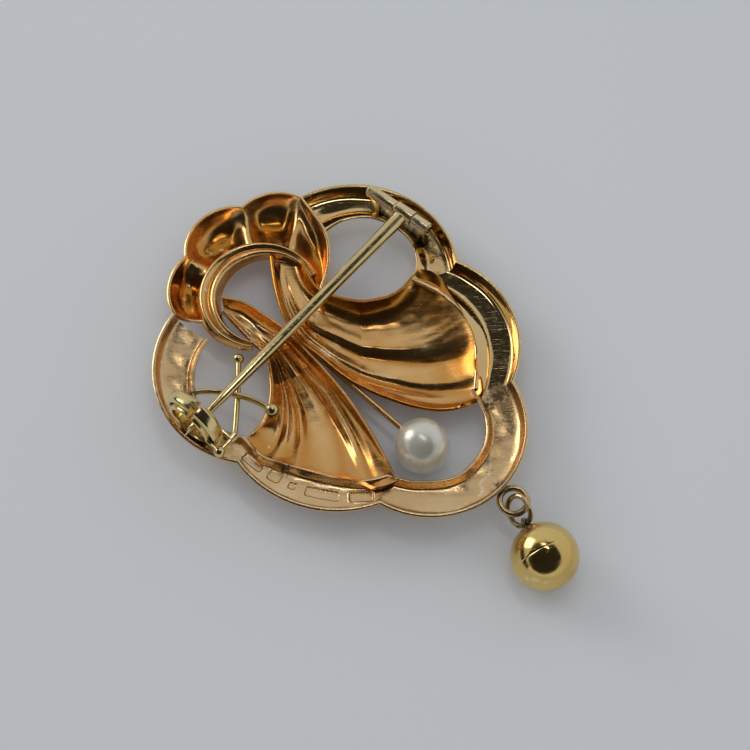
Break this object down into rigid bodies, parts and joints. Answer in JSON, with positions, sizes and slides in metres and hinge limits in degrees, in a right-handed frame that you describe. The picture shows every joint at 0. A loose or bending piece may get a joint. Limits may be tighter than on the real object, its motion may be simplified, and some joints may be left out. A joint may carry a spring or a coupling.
{
  "type": "brooch",
  "caption": "Round gold brooch seen from the back: channelled rim lobes, fluted leaves, a pearl, a hinged pin with a turning catch, and a hollow ball drop.",
  "frame": {"origin": "on the surface that the brooch lies on, front face down, at the middle of its bounding box", "axes": "+Z is out of the back, towards the pin; +Y is towards the lobe that carries the hinge"},
  "size_m": [0.0336, 0.0358, 0.0076],
  "materials": {
    "rim_gold": "polished, with fine scratches",
    "leaf_gold": "polished, fluted",
    "fitting_gold": "polished",
    "pearl": "lustrous nacre"
  },
  "bodies": {
    "frame": {"lobe_lower_left": "rim_gold", "lobe_bottom": "rim_gold", "lobe_lower_right": "rim_gold", "lobe_right": "rim_gold", "lobe_top": "rim_gold", "shell": "leaf_gold", "crescent": "leaf_gold", "leaf_upper": "leaf_gold", "leaf_lower": "leaf_gold", "pearl_stem": "leaf_gold", "pearl": "pearl", "stamen_long": "fitting_gold", "stamen_short": "fitting_gold", "bead_long": "fitting_gold", "bead_short": "fitting_gold", "hinge_base": "fitting_gold", "hinge_tube_long": "fitting_gold", "hinge_tube_short": "fitting_gold", "hinge_rivet": "fitting_gold", "catch_foot": "fitting_gold", "catch_ring": "fitting_gold", "eyelet": "fitting_gold"},
    "pin": {"pin_knuckle": "fitting_gold", "pin_stem": "fitting_gold"},
    "rotor": {"catch_rotor": "fitting_gold", "catch_lever": "fitting_gold"},
    "link": {"jump_ring": "fitting_gold"},
    "ball": {"ball_eye": "fitting_gold", "ball_near_half": "fitting_gold", "ball_far_half": "fitting_gold"}
  },
  "joints": [
    {"name": "pin_swing", "type": "hinge", "parent": "frame", "child": "pin", "pos_m": [0.00331, 0.01467, 0.00495], "axis": [-0.788, 0.6157, 0], "range_deg": [0, 100]},
    {"name": "catch_turn", "type": "hinge", "parent": "frame", "child": "rotor", "pos_m": [-0.0127, -0.00445, 0.00495], "axis": [-0.6481, -0.7615, 0], "range_deg": [0, 90]},
    {"name": "link_swing", "type": "hinge", "parent": "frame", "child": "link", "pos_m": [0.01257, -0.01142, 0.0027], "axis": [-0.8988, -0.4384, 0], "range_deg": [-20, 20]},
    {"name": "ball_swing", "type": "hinge", "parent": "link", "child": "ball", "pos_m": [0.01303, -0.01235, 0.0027], "axis": [0.613, 0.299, 0.7314], "range_deg": [-45, 45]}
  ]
}
